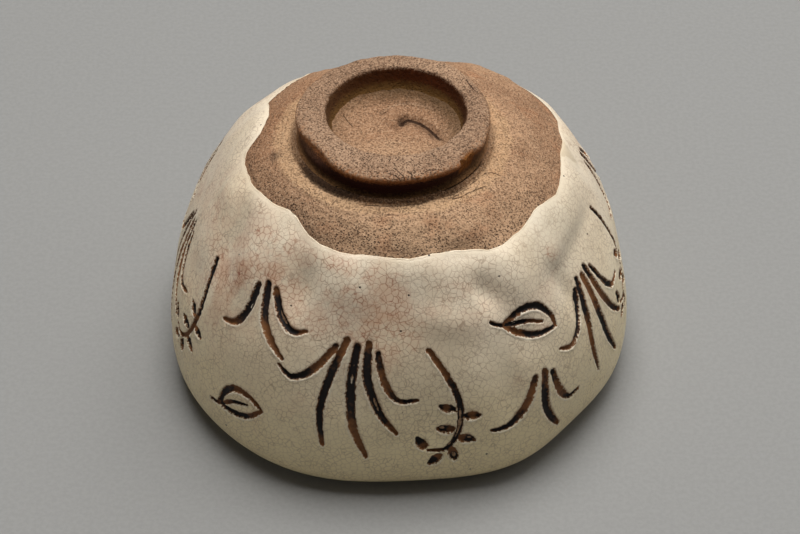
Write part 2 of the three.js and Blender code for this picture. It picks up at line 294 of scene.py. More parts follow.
def from_edge(places):
    """Distance from the glaze's edge, less than nothing on the bare side."""
    distances = np.array([edge_tree.find(place)[2] for place in places])
    edge_azimuths = azimuth_of(edge_loop, foot_centre)
    order = np.argsort(edge_azimuths)
    edge_reach = np.interp(
        azimuth_of(places, foot_centre),
        edge_azimuths[order],
        reach_of(edge_loop, foot_centre)[order],
        period=360,
    )
    return np.where(reach_of(places, foot_centre) < edge_reach, -distances, distances)


def beside(places, centre, lines):
    """How far to the side of the nearest line each place lies, and how near it is, from 0 to 1.

    Each line is a list of azimuths in degrees and reaches in millimetres about the centre.
    """
    nearest = np.full(len(places), 1.0)
    side = np.full(len(places), 1.0)
    for line in lines:
        knots = [
            np.array(centre)[:2] + reach * mm * np.array((math.cos(turn), math.sin(turn)))
            for turn, reach in ((math.radians(azimuth), reach) for azimuth, reach in line)
        ]
        for start, end in zip(knots, knots[1:]):
            way = (end - start) / np.hypot(*(end - start))
            offset = places[:, :2] - start
            along = np.clip(offset @ way, 0, np.hypot(*(end - start)))
            gap = np.hypot(*(offset - along[:, None] * way).T)
            across = way[0] * offset[:, 1] - way[1] * offset[:, 0]
            side = np.where(gap < nearest, np.copysign(gap, across), side)
            nearest = np.minimum(gap, nearest)
    return side / mm, bell(nearest, 0.6 * mm)


# The clay that shows gets finer faces, and is pressed as the glaze on it is.
rounded(clay, 1)
clay_points = points_of(clay)
inside_foot = reach_of(clay_points, foot_centre) < foot_reach - 2 * mm
outside_recess = reach_of(clay_points, recess_centre) > recess_reach + 3 * mm
shows = (clay_points[:, 2] > shoulder_height) & facing_out(clay) & ~(inside_foot & outside_recess)
finer_where(clay, shows & (from_edge(clay_points) < 2.5 * mm), 4, 10)

clay_points = points_of(clay)
clay_points = np.where(facing_out(clay)[:, None], pressed(clay_points), clay_points)
moved_to(clay, clay_points)
clay_azimuth = azimuth_of(clay_points, foot_centre)
clay_reach = reach_of(clay_points, foot_centre)
clay_edge = from_edge(clay_points)

# Scraping left lumps, faint turned lines at the left front and streaks down the right side, and
# slip was smeared up the joint of the foot.
worked = (
    slope(clay_points[:, 2], 0.72 * seat_height, 0.78 * seat_height)
    * slope(-clay_edge, 0, 1.5 * mm)
    * facing_out(clay)
)
lumps = 0.22 * grain(clay_points, 5 * mm) + 0.12 * grain(clay_points, 1.7 * mm, 3)
wobble = 3 * mm * grain(clay_points, 25 * mm, 4)
left_front = bell(turned_by(clay_azimuth, -115), 55)
turning = np.sin((clay_reach + wobble) / (0.32 * mm)) * bell(clay_reach - 28.5 * mm, 2.6 * mm)
right_side = bell(turned_by(clay_azimuth, 0), 45) * slope(clay_reach, 26 * mm, 30 * mm)
flat = np.zeros_like(clay_reach)
streak_places = np.stack([clay_azimuth / 3.2, clay_reach / (14 * mm), flat], 1)
streaks = grain(streak_places, 1.0, 5) * right_side
outside_foot = slope(clay_reach, foot_reach, foot_reach + 1.5 * mm)
scraped = 1.3 * lumps + 0.1 * turning * left_front + 0.42 * streaks
luted = 1.1 * slope(clay_reach, foot_reach + 0.9 * mm, foot_reach - 0.3 * mm)
raised = scraped * outside_foot + luted * (clay_reach > foot_reach - 0.8 * mm)
pushed_out(clay, raised * worked * mm)

# The recess was scooped out in one turn, which left a cove round its wall and a curled step.
recess_azimuth = azimuth_of(clay_points, recess_centre)
recess_radius = reach_of(clay_points, recess_centre)
in_recess = worked * (clay_reach < foot_reach - 2 * mm) * (recess_radius < recess_reach + 2 * mm)
cove = 2.2 * slope(recess_radius, 8.5 * mm, 17.5 * mm) ** 1.5
curl = [(82, 5.4), (66, 6.5), (53, 6.9), (37, 7.4), (26, 7.8), (15, 8.4), (2, 9.4), (-8, 10.5)]
curl_side, _ = beside(clay_points, recess_centre, [curl])
curl_start = slope(turned_by(recess_azimuth, 95), 0, -20)
curl_end = slope(turned_by(recess_azimuth, -30), 0, 28)
along_curl = curl_start * curl_end
curl_inside = np.where(curl_side < 0, bell(curl_side, 2.8), bell(curl_side, 0.8))
lip_of_curl = 0.25 * bell(curl_side - 0.9, 0.8)
start_place = recess_centre + Vector((1.4 * mm, 5 * mm, 0))
small_place = recess_centre + Vector((-0.3 * mm, 2.9 * mm, 0))
start_hole = bell(reach_of(clay_points, start_place), 1.1 * mm)
small_hole = bell(reach_of(clay_points, small_place), 1.2 * mm)
scoop = along_curl * (lip_of_curl - curl_inside) - 0.9 * start_hole - 0.4 * small_hole
arc = [
    (115, 8.7), (107, 9.3), (97, 10.1), (88, 10.5), (77, 10.9), (67, 11.2), (57, 11.7), (43, 12.2),
]
arc_side, near_arc = beside(clay_points, recess_centre, [arc])
arc_step = 0.3 * np.tanh(arc_side / 0.5) * bell(arc_side, 1.6) * slope(near_arc, 0, 0.2)
scratches = [[(157, 13.8), (161, 12.5), (168, 10.6)], [(118, 8.2), (104, 9.0)]]
scratch_side, near_scratch = beside(clay_points, recess_centre, scratches)
recess_lumps = 0.3 * grain(clay_points, 6 * mm, 8) + 0.12 * grain(clay_points, 2 * mm, 12)
recess_rise = cove + scoop + arc_step - 0.4 * near_scratch + recess_lumps
clay_points = points_of(clay)
clay_points[:, 2] += recess_rise * in_recess * mm
moved_to(clay, clay_points)

# Hairline cracks run in and out of the joint of the foot.
clay_cracks = [
    [(-106, 25.1), (-96, 24.9), (-85, 24.8), (-75, 24.7), (-65, 24.6), (-55, 24.8), (-45, 25.0)],
    [(-45, 25.0), (-36, 25.1), (-31, 25.4), (-28, 26.4), (-27, 28.7)],
    [(-57, 25.9), (-52, 26.3), (-45, 26.5), (-39, 27.4)],
    [(-97, 27.5), (-88, 27.6), (-78, 27.2)],
]
crack_side, near_crack = beside(clay_points, foot_centre, clay_cracks)
note(clay, "crack", np.where(near_scratch > near_crack, scratch_side, crack_side))
note(clay, "near_crack", np.maximum(near_crack, near_scratch))
note(clay, "arc", arc_side)
note(clay, "near_arc", near_arc * in_recess)
note(clay, "curl", curl_side)
note(clay, "along_curl", along_curl * in_recess)
note(clay, "holes", in_recess * np.maximum(start_hole, 0.4 * small_hole))
note(clay, "edge", clay_edge / mm)
note(clay, "halo", (clay_reach - foot_reach) / mm)
apron = 3.2 * mm + 1.4 * mm * np.abs(np.cos(np.radians(clay_azimuth)))
note(clay, "apron", (clay_reach - foot_reach) / apron + 0.2 * grain(clay_points, 4 * mm, 31))

# The front side of the joint, where soot, luting and scorch carry painted shade, and the far side
# of the recess, where painted shade is deepest: middle and half width in degrees
shaded_azimuth = -98
shaded_half = 82
far_azimuth = 65
far_half = 85
note(clay, "front", bell(turned_by(clay_azimuth, -100), 75))
note(clay, "front_left", bell(turned_by(clay_azimuth, -132), 32))
note(clay, "shaded", flat_bell(turned_by(clay_azimuth, shaded_azimuth), shaded_half))
note(clay, "left", bell(turned_by(clay_azimuth, 165), 50))
# Painted shade in the recess, deepest on its far side and towards its wall
far_side = bell(turned_by(recess_azimuth, far_azimuth), far_half)
hollow_shade = in_recess * (0.35 + 0.65 * far_side)
note(clay, "hollow_shade", hollow_shade * np.clip(recess_radius / mm / 5.2 - 1.8, 0, 1))
smudge_place = np.array((-29.5, -10.1, 66.3)) * mm
note(clay, "smudge", bell(np.linalg.norm(clay_points - smudge_place, axis=1), 1.5 * mm))


class Finish:
    """A material as it is built up, from chains of nodes on the piece's own coordinates."""

    def __init__(self, name):
        self.material = bpy.data.materials.new(name)
        self.material.use_nodes = True
        self.tree = self.material.node_tree
        self.shader = self.tree.nodes["Principled BSDF"]
        self.place = self.add("ShaderNodeTexCoord").outputs["Object"]

    def add(self, kind, **settings):
        node = self.tree.nodes.new(kind)
        for name, value in settings.items():
            setattr(node, name, value)
        return node

    def feed(self, socket, value):
        if isinstance(value, bpy.types.NodeSocket):
            self.tree.links.new(value, socket)
        elif isinstance(value, tuple) and socket.type == "RGBA":
            socket.default_value = (*value, 1)
        else:
            socket.default_value = value

    def noted(self, name):
        return self.add("ShaderNodeAttribute", attribute_name=name).outputs["Fac"]

    def height(self):
        split = self.add("ShaderNodeSeparateXYZ")
        self.feed(split.inputs[0], self.place)
        return split.outputs["Z"]

    def stretched(self, scale, rotation=(0, 0, 0)):
        node = self.add("ShaderNodeMapping")
        self.feed(node.inputs["Vector"], self.place)
        node.inputs["Scale"].default_value = scale
        node.inputs["Rotation"].default_value = rotation
        return node.outputs["Vector"]

    def mottle(self, size, detail=3.0, roughness=0.5, place=None):
        node = self.add("ShaderNodeTexNoise")
        self.feed(node.inputs["Vector"], place or self.place)
        node.inputs["Scale"].default_value = 1 / size
        node.inputs["Detail"].default_value = detail
        node.inputs["Roughness"].default_value = roughness
        return node.outputs["Fac"]

    def wandering(self, size, distance):
        """The piece's coordinates, each strayed by some noise."""
        stray = self.add("ShaderNodeTexNoise")
        self.feed(stray.inputs["Vector"], self.place)
        stray.inputs["Scale"].default_value = 1 / size
        node = self.add("ShaderNodeVectorMath", operation="MULTIPLY_ADD")
        self.feed(node.inputs[0], stray.outputs["Color"])
        node.inputs[1].default_value = (distance, distance, distance)
        self.feed(node.inputs[2], self.place)
        return node.outputs["Vector"]

    def cells(self, size, feature="F1", place=None):
        node = self.add("ShaderNodeTexVoronoi", feature=feature)
        self.feed(node.inputs["Vector"], place or self.place)
        node.inputs["Scale"].default_value = 1 / size
        return node.outputs["Distance"]

    def ramp(self, value, low, high, first=0.0, last=1.0):
        node = self.add("ShaderNodeMapRange", interpolation_type="SMOOTHSTEP")
        self.feed(node.inputs["Value"], value)
        node.inputs["From Min"].default_value = low
        node.inputs["From Max"].default_value = high
        node.inputs["To Min"].default_value = first
        node.inputs["To Max"].default_value = last
        return node.outputs["Result"]

    def reckon(self, operation, first, second=0.0):
        node = self.add("ShaderNodeMath", operation=operation)
        self.feed(node.inputs[0], first)
        self.feed(node.inputs[1], second)
        return node.outputs["Value"]

    def times(self, *values):
        product = values[0]
        for value in values[1:]:
            product = self.reckon("MULTIPLY", product, value)
        return product

    def blend(self, share, first, second):
        node = self.add("ShaderNodeMix", data_type="RGBA")
        self.feed(node.inputs[0], share)
        self.feed(node.inputs[6], first)
        self.feed(node.inputs[7], second)
        return node.outputs[2]

    def paint(self, colour, tint, *shares):
        """Lays a tint over a colour, as strongly as the product of the shares."""
        return self.blend(self.times(*shares), colour, tint)

    def torn(self, value, size, amount):
        """A value made uneven by fine noise, so that a ramp of it has a ragged border."""
        unevenness = self.reckon("SUBTRACT", self.mottle(size, 4, 0.7), 0.5)
        return self.reckon("ADD", value, self.times(unevenness, amount))

    def thin_line(self, name, core, border, strength=1.0):
        """A line along which a note is nothing."""
        return self.ramp(self.reckon("ABSOLUTE", self.noted(name)), core, border, strength, 0)

    def relief(self, height, distance):
        node = self.add("ShaderNodeBump")
        self.feed(node.inputs["Height"], height)
        node.inputs["Distance"].default_value = distance
        return node.outputs["Normal"]

    def give(self, **values):
        for name, value in values.items():
            self.feed(self.shader.inputs[name.replace("_", " ")], value)
        return self.material


def srgb(red, green, blue):
    """A colour as the eye reads it, 0 to 255, in the linear numbers that a shader needs."""
    shares = [channel / 255 for channel in (red, green, blue)]
    return tuple(s / 12.92 if s < 0.04045 else ((s + 0.055) / 1.055) ** 2.4 for s in shares)


clay_roughness = 0.95
clay_gloss = 0.2


def gritty(finish, colour, pits_share, pale_share):
    """Adds grain, dark pits and pale grit to a clay colour. Gives the colour and the relief."""
    dark_grain = srgb(84, 54, 36)
    pale_grain = srgb(216, 182, 150)
    pit_brown = srgb(40, 22, 12)
    pale_grit = srgb(214, 178, 144)
    grains = finish.mottle(0.42 * mm, 1, 0.5)
    colour = finish.paint(colour, dark_grain, finish.ramp(grains, 0.3, 0.5, 0.4, 0))
    colour = finish.paint(colour, pale_grain, finish.ramp(grains, 0.5, 0.7, 0, 0.3))
    pits = finish.ramp(finish.cells(0.85 * mm), 0.2, 0.34, 1, 0)
    fine_pits = finish.ramp(finish.cells(0.5 * mm), 0.22, 0.36, 1, 0)
    patchy = finish.ramp(finish.mottle(2.4 * mm, 3, 0.6), 0.34, 0.58, 0.5, 1)
    dark = finish.times(finish.reckon("MAXIMUM", pits, fine_pits), patchy)
    colour = finish.paint(colour, pit_brown, dark, pits_share)
    tilted = finish.stretched((1, 1, 1), (0.4, 0.9, 0.2))
    grit = finish.ramp(finish.cells(0.7 * mm, place=tilted), 0.18, 0.32, 1, 0)
    colour = finish.paint(colour, pale_grit, grit, pale_share)
    rough = finish.reckon("SUBTRACT", finish.mottle(1.4 * mm, 3, 0.6), finish.times(dark, 0.8))
    return colour, finish.relief(rough, 0.35 * mm)


def bare_clay():
    """Fired clay with rosy clouds, slip round the foot, soot and painted shade in its joint, and
    painted shade in its recess and curl.
    """
    finish = Finish("bare_stoneware")
    fired_clay = srgb(157, 119, 89)
    pale_clay = srgb(181, 142, 109)
    front_clay = srgb(208, 172, 136)
    rosy_clay = srgb(172, 121, 86)
    smooth_clay = srgb(145, 102, 71)
    darker_front_left_clay = srgb(138, 106, 80)
    dried_slip = srgb(198, 160, 119)
    luting_and_shade = srgb(118, 84, 54)
    recess_clay = srgb(144, 107, 78)
    turned_line = srgb(196, 160, 128)
    soot_and_shade_black = srgb(40, 22, 11)
    smoke_and_shade_brown = srgb(44, 28, 16)
    hollow_shade_brown = srgb(76, 56, 31)
    curl_brown = srgb(34, 15, 6)
    smudge_grey = srgb(62, 50, 42)
    crack_brown = srgb(52, 34, 20)
    halo = finish.noted("halo")
    front = finish.noted("front")
    front_left = finish.noted("front_left")
    shaded = finish.noted("shaded")
    soft = finish.ramp(finish.mottle(13 * mm, 3, 0.55), 0.36, 0.66)
    colour = finish.blend(soft, fired_clay, pale_clay)
    colour = finish.paint(colour, front_clay, front, 0.6)
    rosy = finish.ramp(finish.mottle(8 * mm, 2, 0.5, finish.stretched((1, 1.3, 1))), 0.52, 0.72)
    colour = finish.paint(colour, rosy_clay, rosy, 0.5)
    colour = finish.paint(colour, smooth_clay, finish.noted("left"), finish.ramp(halo, 2, 6), 0.7)
    # The clay is darker at the left front, away from the foot
    colour = finish.paint(colour, darker_front_left_clay, front_left, finish.ramp(halo, 3, 5), 0.6)
    slip = finish.ramp(finish.noted("apron"), 0.8, 1.2, 1, 0)
    colour = finish.paint(colour, dried_slip, slip, finish.ramp(halo, -1, 1), 0.5)
    outside_foot = finish.ramp(halo, -3, -2)
    near_foot = finish.times(outside_foot, finish.ramp(halo, 0.3, 1.2, 1, 0))
    # The luting round the foot: its own darker colour, with painted shade that is strongest on the
    # shaded side
    shaded_more = finish.reckon("ADD", finish.times(shaded, 0.8), 0.2)
    colour = finish.paint(colour, luting_and_shade, near_foot, shaded_more)
    colour = finish.paint(colour, recess_clay, finish.ramp(halo, -6, -9), 0.45)
    pale_line = finish.thin_line("arc", 0.08, 0.3, 0.5)
    colour = finish.paint(colour, turned_line, pale_line, finish.noted("near_arc"))

    # Grit crowds towards the glaze and the front.
    near_edge = finish.ramp(finish.noted("edge"), -9, -1, 0.5, 1)
    near_front = finish.reckon("ADD", finish.times(front, 0.55), 0.4)
    uneven = finish.ramp(finish.mottle(6 * mm, 2, 0.5), 0.32, 0.6, 0.5, 1)
    crowd = finish.times(near_edge, near_front, uneven)
    colour, bump = gritty(finish, colour, crowd, finish.times(crowd, 0.4))

    # Soot with painted shade in the joint, smoke with painted shade, and the painted shade of the
    # recess's hollow and curl lie over the grit, so that no grain shines in them.
    soot_and_shade = finish.torn(finish.times(near_foot, shaded, 0.5), 0.7 * mm, 0.7)
    colour = finish.paint(colour, soot_and_shade_black, finish.ramp(soot_and_shade, 0.2, 0.65), 0.75)
    # Smoke beside the foot at the left front, with painted shade where the foot's shadow falls
    smoke_and_shade = finish.times(finish.ramp(halo, 0.2, 3, 1, 0), front_left, outside_foot)
    smoke_and_shade = finish.torn(smoke_and_shade, 0.6 * mm, 1.0)
    colour = finish.paint(colour, smoke_and_shade_brown, finish.ramp(smoke_and_shade, 0.5, 0.8), 0.8)
    # Painted shade in the hollow of the recess
    hollow_shade = finish.ramp(finish.torn(finish.noted("hollow_shade"), 0.8 * mm, 0.9), 0.05, 1)
    colour = finish.paint(colour, hollow_shade_brown, hollow_shade, 0.8)
    curl = finish.torn(finish.noted("curl"), 1.5 * mm, 0.3)
    before_lip = finish.ramp(curl, 0.1, 0.3, 1, 0)
    under_lip = finish.times(finish.ramp(curl, -3, 0, 0, 0.6), before_lip)
    lip_line = finish.times(finish.ramp(curl, -0.9, -0.3), before_lip)
    shade = finish.times(finish.reckon("MAXIMUM", under_lip, lip_line), finish.noted("along_curl"))
    shade = finish.reckon("MAXIMUM", shade, finish.noted("holes"))
    colour = finish.paint(colour, curl_brown, shade, 0.9)
    colour = finish.paint(colour, smudge_grey, finish.noted("smudge"), 0.6)
    line = finish.thin_line("crack", 0.07, 0.24)
    broken = finish.ramp(finish.mottle(2.5 * mm, 2, 0.6), 0.36, 0.52, 0.25, 1)
    colour = finish.paint(colour, crack_brown, line, finish.noted("near_crack"), broken, 0.8)
    finish.give(Roughness=clay_roughness, Specular_IOR_Level=clay_gloss)
    return finish.give(Base_Color=colour, Normal=bump)


clay.data.materials.append(bare_clay())
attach(clay, "root")
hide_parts("clay_body")

# Foot ring. A rope of the same clay, luted on with slip, turned and undercut with a bamboo knife
# while it was soft. Its face is worn and gritty, its undercut is scorched and painted with shade on
# the front side, and a chip is gone from its outer edge.
foot = welded_copy("foot_ring", "foot_ring_clay")
rounded(foot, 3)
foot_points = points_of(foot)
foot_azimuth = azimuth_of(foot_points, foot_centre)
foot_radius = reach_of(foot_points, foot_centre)
foot_rise = (foot_points[:, 2] - seat_height) / (foot_face - seat_height)
on_face = slope(foot_rise, 0.8, 0.95)
foot_lumps = 0.1 * grain(foot_points, 4 * mm, 7) + 0.05 * grain(foot_points, 1.1 * mm, 11)
worn_edge = 0.2 * grain(foot_points, 2.8 * mm, 17) + 0.12 * grain(foot_points, 1.2 * mm, 23)
worn = foot_lumps + worn_edge * bell(foot_rise - 0.93, 0.13)
pushed_out(foot, worn * slope(foot_rise, 0, 0.2) * mm)
outside_wall = slope(foot_radius, 19.5 * mm, 22 * mm)

# The rim was pared flat on one side, and bulges at the back and where the chip is: azimuth and
# half width in degrees, and millimetres outwards
rim_changes = [(-147, 18, -2.3), (-40, 17, 1.1), (88, 42, 1.1), (55, 18, 0.9)]
pared = np.zeros(len(foot_points))
for azimuth, width, out in rim_changes:
    pared += out * bell(turned_by(foot_azimuth, azimuth), width)
outer_share = np.clip((foot_radius - 17 * mm) / (6.5 * mm), 0, 1) * slope(foot_rise, 0.4, 0.85)

# What stood out past the chip's face is drawn in to it, and lowered.
chip_azimuth = -39.5
chip_reach = 22.6 * mm + 0.35 * mm * grain(foot_points, 1.5 * mm, 27)
chip_width = slope(np.abs(turned_by(foot_azimuth, chip_azimuth)), 7.5, 5.5)
shift = pared * outer_share * mm
past_chip = np.clip(foot_radius + shift - chip_reach, 0, None)
chipped = past_chip * chip_width * slope(foot_rise, 0.35, 0.6)
foot_points = points_of(foot)
foot_turn = np.radians(foot_azimuth)
foot_points[:, 0] += (shift - chipped) * np.cos(foot_turn)
foot_points[:, 1] += (shift - chipped) * np.sin(foot_turn)
foot_points[:, 2] -= 0.9 * chipped
moved_to(foot, foot_points)
foot_cracks = [
    [(-88, 19.6), (-86, 20.8), (-84, 22.0), (-83, 22.9)],
    [(-92, 21.4), (-89, 21.9), (-86, 22.9)],
    [(-80, 21.0), (-78, 22.2), (-79, 23.0), (-74, 23.2)],
    [(-68, 21.8), (-63, 22.2)],
    [(37, 22.3), (27, 21.9)],
]
foot_side, near_foot_crack = beside(foot_points, foot_centre, foot_cracks)
note(foot, "crack", foot_side)
note(foot, "near_crack", near_foot_crack * on_face)
note(foot, "outside", outside_wall)
note(foot, "rise", foot_rise)
broken_face = np.maximum(slope(chipped, 0, 0.2 * mm), slope(foot_rise, 0.95, 0.85))
note(foot, "chip", chip_width * outside_wall * slope(foot_rise, 0.2, 0.45) * broken_face)
note(foot, "front", bell(turned_by(foot_azimuth, -95), 45))
# The front side, where the undercut carries scorch and painted shade
note(foot, "shaded", flat_bell(turned_by(foot_azimuth, shaded_azimuth), shaded_half))
# The far side of the bore, which is painted with shade
bore_azimuth = azimuth_of(foot_points, recess_centre)
note(foot, "far", bell(turned_by(bore_azimuth, far_azimuth), far_half))


def foot_clay():
    """Gritty clay, scorched and painted with shade under the front of the rim, painted shade in the
    bore, amber in the chip.
    """
    finish = Finish("foot_clay")
    face_clay = srgb(142, 112, 88)
    pale_face_clay = srgb(166, 134, 107)
    shade_and_scorch_black = srgb(50, 18, 8)
    scorch_orange = srgb(168, 104, 56)
    joint_brown = srgb(120, 86, 52)
    unshaded_unscorched_clay = srgb(152, 112, 78)
    near_bore = srgb(98, 68, 38)
    far_bore = srgb(76, 34, 6)
    low_bore = srgb(98, 68, 32)
    chip_brown = srgb(96, 46, 14)
    chip_amber = srgb(180, 118, 54)
    crack_brown = srgb(46, 30, 22)
    front = finish.noted("front")
    outside = finish.noted("outside")
    rise = finish.torn(finish.noted("rise"), 0.6 * mm, 0.45)
    soft = finish.ramp(finish.mottle(10 * mm, 3, 0.55), 0.35, 0.68)
    colour = finish.blend(soft, face_clay, pale_face_clay)
    pits_share = finish.reckon("ADD", finish.times(front, 0.35), 0.45)
    colour, bump = gritty(finish, colour, pits_share, 0.3)
    # The undercut: scorch with painted shade on the front side, plain clay on the other sides
    scorch_and_shade = finish.blend(finish.ramp(rise, 0.62, 0.9), shade_and_scorch_black, scorch_orange)
    lower = finish.reckon("ADD", rise, finish.times(front, 0.12))
    scorch_and_shade = finish.paint(scorch_and_shade, joint_brown, finish.ramp(lower, 0.1, 0.42, 1, 0))
    scorch_and_shade = finish.blend(finish.noted("shaded"), unshaded_unscorched_clay, scorch_and_shade)
    colour = finish.paint(colour, scorch_and_shade, outside, finish.ramp(rise, 0.8, 1.0, 1, 0))
    # Painted shade in the bore, darkest high on its far side
    inside = finish.reckon("SUBTRACT", 1.0, outside)
    bore_shade_tone = finish.blend(finish.noted("far"), near_bore, far_bore)
    bore_shade_tone = finish.paint(bore_shade_tone, low_bore, finish.ramp(rise, 0.34, 0.58, 1, 0))
    colour = finish.paint(colour, bore_shade_tone, inside, finish.ramp(rise, 0.84, 0.97, 1, 0))
    broken_clay = finish.blend(finish.mottle(1.2 * mm), chip_brown, chip_amber)
    colour = finish.paint(colour, broken_clay, finish.noted("chip"), 0.85)
    line = finish.thin_line("crack", 0.08, 0.26)
    colour = finish.paint(colour, crack_brown, line, finish.noted("near_crack"), 0.85)
    finish.give(Roughness=clay_roughness, Specular_IOR_Level=clay_gloss)
    return finish.give(Base_Color=colour, Normal=bump)


foot.data.materials.append(foot_clay())
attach(foot, "root")
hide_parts("foot_ring")

# Outside coat. Thick cream glaze that ends in a rounded, wavy edge on the shoulder. Grasses and
# leaves were carved through it into the damp clay and rubbed with iron oxide, and it crazed as it
# cooled.
coat = welded_copy("outer_glaze", "outer_coat")
rounded(coat, 1)
finer_where(coat, facing_out(coat), 1, 2)
coat_points = pressed(points_of(coat))
waviness = 0.3 * grain(coat_points, 17 * mm, 21) + 0.12 * grain(coat_points, 7 * mm, 5)
above_lip = slope(coat_points[:, 2], 4 * mm, 12 * mm)
outwards = coat_points - belly_middle
outwards /= np.linalg.norm(outwards, axis=1)[:, None]
from_coat_edge = from_edge(coat_points)
thinner = -0.3 * slope(from_coat_edge, 0.1 * mm, 0.9 * mm) * slope(from_coat_edge, 4 * mm, 1.5 * mm)
coat_lift = waviness * above_lip * slope(from_coat_edge, 0, 6 * mm) + thinner * facing_out(coat)
coat_points += outwards * coat_lift[:, None] * mm

# The edge runs in and out a little, as it does where glaze has been poured.
coat_turn = np.radians(azimuth_of(coat_points, belly_middle))
flat = np.zeros_like(coat_turn)
round_edge = 40 * mm * np.stack([np.cos(coat_turn), np.sin(coat_turn), flat], 1)
flow = 0.4 * grain(round_edge, 3.2 * mm, 33) + 0.22 * grain(round_edge, 1.5 * mm, 35)
flow *= slope(from_coat_edge, 5 * mm, 0)
sine = outwards[:, 2]
cosine = np.hypot(outwards[:, 0], outwards[:, 1])
uphill = np.stack([-sine * np.cos(coat_turn), -sine * np.sin(coat_turn), cosine], 1)
moved_to(coat, coat_points + uphill * flow[:, None] * mm)

# Each motif is a handful of strokes: a width, and points across and up from its middle, all in
# millimetres. The plants grow towards the lip, so they stand upright when the bowl is in use.
tall_grass = [
    (1.7, [(-4.5, -13), (-7, -6), (-11, -1), (-16, -1)]),
    (2.1, [(-2, -15), (-3, -6), (-7, 3), (-12, 9)]),
    (2.3, [(0.6, -14), (0.8, -3), (-1, 8), (-5, 17)]),
    (2.0, [(3.2, -15), (6, -5), (7.5, 5), (6, 15)]),
    (1.8, [(5.6, -13), (10, -6), (15, -2), (19, -3.5)]),
]
low_grass = [
    (1.9, [(-2.5, -8), (-5, -2), (-9, 2), (-13, 1.5)]),
    (2.2, [(0, -9), (-0.5, 0), (-3.5, 6), (-7, 10)]),
    (2.0, [(2.8, -8), (5, -1), (9, 4), (14, 5)]),
]
seed_stem = [
    (1.6, [(4, -16), (1, -8), (-0.5, 0), (1, 8), (5, 13), (9.5, 12.5)]),
    (2.4, [(10.2, 11.5), (11.6, 8.2)]),
    (2.4, [(7, 15), (9.8, 17)]),
    (2.4, [(3.6, 13.6), (3.2, 17.2)]),
    (2.4, [(1, 10), (-2.2, 11.8)]),
    (2.4, [(2.6, 7.2), (5.8, 6.6)]),
    (2.2, [(-1.6, 4), (-4.6, 4.6)]),
    (2.2, [(1.4, 1.2), (4.2, -0.2)]),
]
fallen_leaf = [
    (1.9, [(-8, -2.6), (-4, 2), (1, 3.6), (6, 1.6), (9, -2)]),
    (1.7, [(-8, -2.6), (-3, -4.2), (3, -4.4), (9, -2)]),
    (1.2, [(-12, -2.2), (-8, -2.6), (-2, -0.9), (4, -0.8)]),
]

# Motif, then azimuth, climb and turn in degrees, and size
marks = [
    (tall_grass, -172, 20, 186, 0.9),
    (seed_stem, -149, 22, 172, 0.9),
    (low_grass, -127, 33, 190, 0.85),
    (fallen_leaf, -130, 10, 20, 0.85),
    (tall_grass, -101, 20, 176, 0.95),
    (seed_stem, -76, 18, 187, 0.95),
    (low_grass, -55, 12, 172, 0.95),
    (fallen_leaf, -54, 33, -25, 0.8),
    (tall_grass, -30, 21, 184, 0.9),
    (seed_stem, -7, 24, 170, 0.9),
    (low_grass, 15, 32, 186, 0.9),
    (fallen_leaf, 12, 9, 160, 0.9),
    (tall_grass, 42, 20, 178, 0.95),
    (seed_stem, 66, 19, 190, 0.9),
    (low_grass, 87, 13, 176, 0.95),
    (fallen_leaf, 89, 33, 30, 0.85),
    (tall_grass, 114, 21, 187, 0.9),
    (seed_stem, 138, 23, 174, 0.95),
    (low_grass, 160, 31, 180, 0.9),
    (fallen_leaf, 158, 9, -20, 0.9),
]
stroke_step = 0.25 * mm


def along_curve(stroke):
    """Points every quarter of a millimetre along the smooth curve through a stroke's points."""
    knots = np.array([stroke[0], *stroke, stroke[-1]], float)
    curve = []
    for before, start, end, after in zip(knots, knots[1:], knots[2:], knots[3:]):
        steps = max(int(np.hypot(*(end - start)) * mm / stroke_step), 2)
        for t in np.linspace(0, 1, steps, endpoint=False):
            straight = 2 * start + (end - before) * t
            bend = (2 * before - 5 * start + 4 * end - after) * t**2
            twist = (3 * start - before - 3 * end + after) * t**3
            curve.append((straight + bend + twist) / 2)
    return np.array([*curve, stroke[-1]])


# Each stroke swells and thins along its way, and holds more iron in some places than in others.
coat_skin = BVHTree.FromObject(coat, bpy.context.evaluated_depsgraph_get())
carved_points = []
carved_widths = []
carved_loads = []
for number, (motif, mark_azimuth, climb, turn, size) in enumerate(marks):
    for width, stroke in motif:
        curve = along_curve(stroke) * size
        turned = math.radians(turn)
        across = curve[:, 0] * math.cos(turned) - curve[:, 1] * math.sin(turned)
        up = curve[:, 0] * math.sin(turned) + curve[:, 1] * math.cos(turned)
        climbs = climb + np.degrees(up * mm / belly_reach)
        azimuths = mark_azimuth + np.degrees(across * mm / belly_reach) / np.cos(np.radians(climbs))
        shares = np.linspace(0, 1, len(curve))
        swelling = 0.4 + 0.6 * np.sin(np.pi * (0.18 + 0.8 * shares)) ** 0.8
        load = 0.65 + 0.35 * np.sin(shares * 5 + number * 2.4 + width * 7)
        for azimuth, stroke_climb, swell, laden in zip(azimuths, climbs, swelling, load):
            carved_points.append(on_skin(coat_skin, way_at(azimuth, stroke_climb)))
            carved_widths.append(width * size**0.3 * swell * mm / 2)
            carved_loads.append(laden * swell)
carved_points = np.array(carved_points)
carved_widths = np.array(carved_widths)
carved_loads = np.array(carved_loads)
carved_tree = tree_of(carved_points)


def nearest_stroke(places):
    """The number of the stroke point nearest to each place, and how far off it is."""
    _, nearest, gaps = zip(*[carved_tree.find(place) for place in places])
    return np.array(nearest), np.array(gaps)


